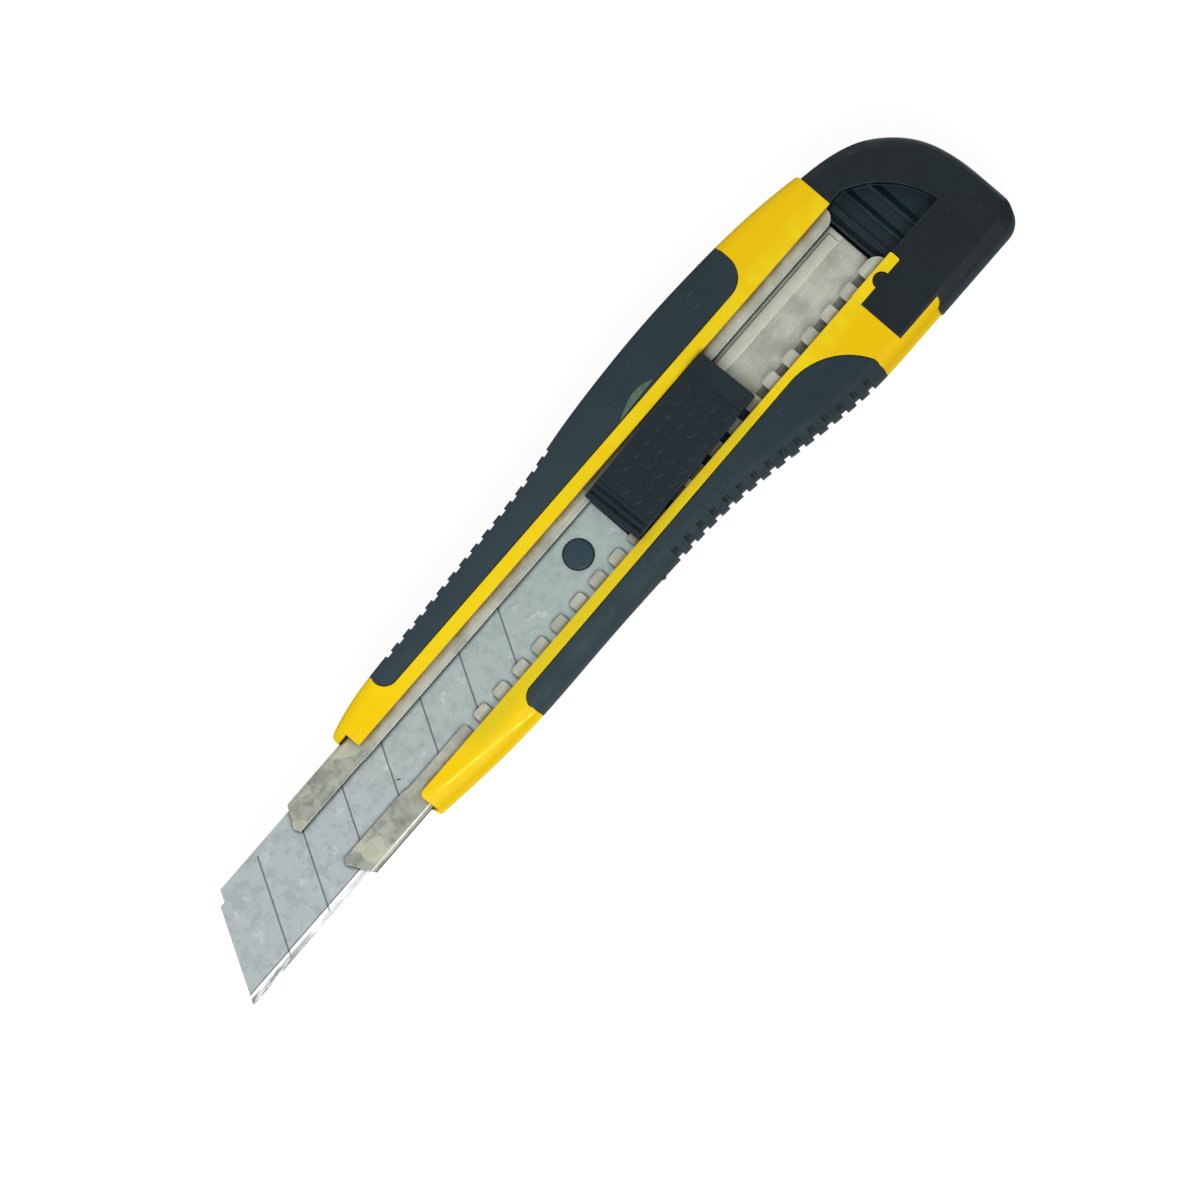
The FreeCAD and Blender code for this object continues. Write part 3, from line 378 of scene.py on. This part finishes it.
def blade_steel():
    """Ground blade steel, cool grey, faintly smeared, with score lines darkened by painted shade, a bright
    bevel, painted shade by the lips and pin and painted highlights on its edges.
    """
    s = Shader("blade_steel")
    rounded, edges = s.round_edges(0.06 * MM)
    across = s.noise(1.0, detail=3.0, where=s.stretched((2600.0, 160.0, 2600.0), 0.10))
    clouds = s.noise(150.0, detail=6.0, roughness=0.6)
    mottle = s.noise(520.0, detail=5.0, roughness=0.7)
    along = s.ramp(s.axis("X"), -0.08, 0.0)
    tone = s.mix(along, linear(193, 203, 204), linear(176, 193, 187))
    tone = s.mix(s.ramp(clouds, 0.40, 0.65, 0.0, 0.5), tone, linear(174, 186, 184))
    tone = s.mix(s.ramp(mottle, 0.46, 0.62, 0.0, 0.45), tone, linear(156, 166, 166))
    pale = s.noise(340.0, detail=3.0, roughness=0.6)
    tone = s.mix(s.ramp(pale, 0.60, 0.68, 0.0, 0.45), tone, linear(216, 225, 225))
    tone = s.mix(s.ramp(across, 0.4, 0.7, 0.0, 0.12), tone, linear(168, 178, 180))
    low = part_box("blade")[0].y
    bevel = s.ramp(s.axis("Y"), low + BEVEL_WIDTH, low + BEVEL_WIDTH - 0.06 * MM)
    specks = s.noise(1.0, detail=4.0, roughness=0.65, where=s.stretched((260.0, 1900.0, 900.0)))
    towards_tip = s.ramp(s.axis("X"), -0.080, -0.104, 0.35, 1.0)
    towards_edge = s.ramp(s.axis("Y"), low + 1.20 * MM, low + 0.75 * MM)
    smudge = s.math("MULTIPLY", s.math("MULTIPLY", s.ramp(specks, 0.66, 0.46), towards_tip), towards_edge)
    ground = s.mix(smudge, linear(255, 255, 255), linear(118, 126, 130))
    tone = s.mix(s.math("MULTIPLY", bevel, 0.95), tone, ground)
    shoulder = s.math("MULTIPLY",
                      s.ramp(s.axis("Y"), low + BEVEL_WIDTH - 0.14 * MM, low + BEVEL_WIDTH - 0.04 * MM),
                      s.ramp(s.axis("Y"), low + BEVEL_WIDTH + 0.18 * MM, low + BEVEL_WIDTH + 0.06 * MM))
    tone = s.mix(s.math("MULTIPLY", shoulder, 0.8), tone, linear(66, 74, 78))
    # Painted highlight: paler along the edges.
    tone = s.mix(s.math("MULTIPLY", edges, 0.5), tone, linear(236, 242, 242))
    # Painted shade: darker where other surfaces stand close, as by the guide's lips and round the pin.
    tone = s.mix(s.math("MULTIPLY", s.crevices(0.9 * MM, 0.92, 0.60), 0.85), tone, linear(34, 40, 42))
    # Painted shade: steep walls, such as those of the scored lines, darkened.
    tone = s.mix(s.math("MULTIPLY", s.steep_walls(), 0.55), tone, linear(60, 68, 72))
    tone = s.mix(s.math("MULTIPLY", s.fleck(), 0.85), tone, linear(52, 52, 50))
    rough = s.ramp(clouds, 0.3, 0.7, 0.28, 0.38)
    rough = s.math("SUBTRACT", rough, s.math("MULTIPLY", bevel, 0.08))
    normal = s.bump(across, 0.003 * MM, 0.3, rounded)
    return s.finish(Base_Color=tone, Metallic=0.85, Roughness=rough, Normal=normal)


def spring_steel():
    """Bright strip steel with a straw tint and painted highlights on its edges."""
    s = Shader("spring_steel")
    rounded, edges = s.round_edges(0.1 * MM)
    brushed = s.noise(1.0, detail=3.0, where=s.stretched((60.0, 3000.0, 3000.0)))
    tone = s.mix(s.ramp(brushed, 0.35, 0.65), linear(150, 148, 138), linear(182, 178, 164))
    # Painted highlight: paler along the edges.
    tone = s.mix(s.math("MULTIPLY", edges, 0.4), tone, linear(224, 222, 214))
    rough = s.ramp(brushed, 0.3, 0.7, 0.28, 0.4)
    normal = s.bump(brushed, 0.004 * MM, 0.4, rounded)
    return s.finish(Base_Color=tone, Metallic=0.95, Roughness=rough, Normal=normal)


def olive_patch():
    """Dull olive film on the grip."""
    s = Shader("olive_patch")
    clouds = s.noise(600.0, detail=4.0)
    tone = s.mix(s.ramp(clouds, 0.35, 0.65), linear(56, 80, 62), linear(70, 93, 68))
    rough = s.ramp(clouds, 0.3, 0.7, 0.45, 0.6)
    normal = s.bump(s.noise(5200.0, detail=3.0), 0.01 * MM, 0.4)
    return s.finish(Base_Color=tone, Roughness=rough, Normal=normal)


def table_top():
    """Plain pale light table with the slightest unevenness, glowing enough to soften the shadows."""
    s = Shader("table_top")
    clouds = s.noise(6.0, detail=2.0)
    tone = s.mix(s.ramp(clouds, 0.3, 0.7), linear(122, 122, 122), linear(126, 126, 126))
    rough = s.ramp(clouds, 0.3, 0.7, 0.75, 0.85)
    return s.finish(Base_Color=tone, Roughness=rough, Specular_IOR_Level=0.0,
                    Emission_Color=(1.0, 1.0, 1.0, 1.0), Emission_Strength=0.85)


def dress(node, material):
    """Give a CAD node its better material."""
    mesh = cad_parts[node].data
    mesh.materials.clear()
    mesh.materials.append(material)


yellow, rubber = handle_plastic(), grip_rubber()
button_black = black_plastic("button_plastic", linear(6, 24, 31), linear(12, 29, 36), 4200.0)
cap_black = black_plastic("cap_plastic", linear(1, 15, 21), linear(5, 21, 26), 3800.0, linear(8, 32, 40))
inner_black = black_plastic("inner_plastic", linear(30, 50, 59), linear(38, 58, 67), 4500.0)
dress("handle_body", yellow)
dress("latch_finger", yellow)
dress("spine_grip", rubber)
dress("edge_grip", rubber)
dress("slider_button", button_black)
dress("end_cap", cap_black)
dress("blade_carrier", inner_black)
dress("blade_guide", guide_steel())
dress("blade", blade_steel())
dress("lock_spring", spring_steel())


# ---------------------------------------------------------------- small pieces

def make_grip_patch():
    """Thin lens-shaped film on the spine grip, against the rail."""
    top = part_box("spine_grip")[1].z
    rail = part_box("spine_grip")[0].y
    start, length, width, film = 15.6 * MM, 9.6 * MM, 1.35 * MM, 0.03 * MM
    build = bmesh.new()
    columns, rows = 40, 8
    grid = []
    for i in range(columns + 1):
        share = i / columns
        reach = width * math.sin(math.pi * share ** 1.25) ** 0.9
        drift = 0.45 * MM * share
        grid.append([build.verts.new((start + length * share, rail + 0.1 * MM + drift + reach * j / rows,
                                      top + film * math.sin(math.pi * min(j + 0.5, rows) / rows)))
                     for j in range(rows + 1)])
    for i in range(columns):
        for j in range(rows):
            build.faces.new((grid[i][j], grid[i + 1][j], grid[i + 1][j + 1], grid[i][j + 1]))
    bmesh.ops.remove_doubles(build, verts=build.verts, dist=1e-7)
    mesh = bpy.data.meshes.new("grip_patch")
    build.to_mesh(mesh)
    build.free()
    patch = bpy.data.objects.new("grip_patch", mesh)
    bpy.context.scene.collection.objects.link(patch)
    mesh.materials.append(olive_patch())
    mesh.polygons.foreach_set("use_smooth", [True] * len(mesh.polygons))
    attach(patch, "handle")
    return patch


make_grip_patch()


# ---------------------------------------------------------------- table, light and camera

def make_table():
    """Large flat table just under the knife's back."""
    low, high = cad_box
    centre = (low + high) / 2
    half_side, gap = 3.0, 0.02 * MM
    mesh = bpy.data.meshes.new("table")
    build = bmesh.new()
    bmesh.ops.create_grid(build, x_segments=8, y_segments=8, size=half_side)
    build.to_mesh(mesh)
    build.free()
    table = bpy.data.objects.new("table", mesh)
    table.location = (centre.x, centre.y, low.z - gap)
    bpy.context.scene.collection.objects.link(table)
    mesh.materials.append(table_top())


def make_light(name, place, target, size, power):
    """A round area light at a place, facing a target."""
    data = bpy.data.lights.new(name, "AREA")
    data.shape = "DISK"
    data.size = size
    data.energy = power
    light = bpy.data.objects.new(name, data)
    light.location = place
    light.rotation_mode = "QUATERNION"
    light.rotation_quaternion = (Vector(target) - Vector(place)).to_track_quat("-Z", "Y")
    bpy.context.scene.collection.objects.link(light)


def make_lights():
    """Even white surroundings, a key light from the edge side and a weak fill from the other."""
    world = bpy.data.worlds.new("studio")
    world.use_nodes = True
    background = world.node_tree.nodes["Background"]
    background.inputs["Color"].default_value = (1.0, 1.0, 1.0, 1.0)
    background.inputs["Strength"].default_value = 0.70
    bpy.context.scene.world = world
    middle = (0.0, 0.0, 0.01)
    make_light("key", (-0.26, -0.48, 0.78), middle, 0.45, 5.0)
    make_light("fill", (0.45, 0.55, 0.55), middle, 0.7, 1.5)


def make_camera():
    """Nearly straight down on the slider face, the knife turned up to the right in the picture."""
    tilt, turn = math.radians(8.0), math.radians(49.0)
    aim = Vector((-10.5, -8.3, 15.0)) * MM
    distance, picture_width = 1.4, 212.8 * MM
    ahead = Vector((0.0, math.sin(tilt), -math.cos(tilt)))
    flat_right = Vector((1.0, 0.0, 0.0))
    flat_up = flat_right.cross(ahead)
    right = flat_right * math.cos(turn) - flat_up * math.sin(turn)
    up = flat_right * math.sin(turn) + flat_up * math.cos(turn)
    data = bpy.data.cameras.new("camera")
    data.sensor_width = 36.0
    data.lens = data.sensor_width * distance / picture_width
    data.dof.use_dof = False
    data.clip_start, data.clip_end = 0.01, 20.0
    camera = bpy.data.objects.new("camera", data)
    facing = Matrix((right, up, -ahead)).transposed().to_4x4()
    camera.matrix_world = Matrix.Translation(aim - ahead * distance) @ facing
    bpy.context.scene.collection.objects.link(camera)
    bpy.context.scene.camera = camera


make_table()
make_lights()
make_camera()
bpy.context.scene.view_settings.view_transform = "Standard"
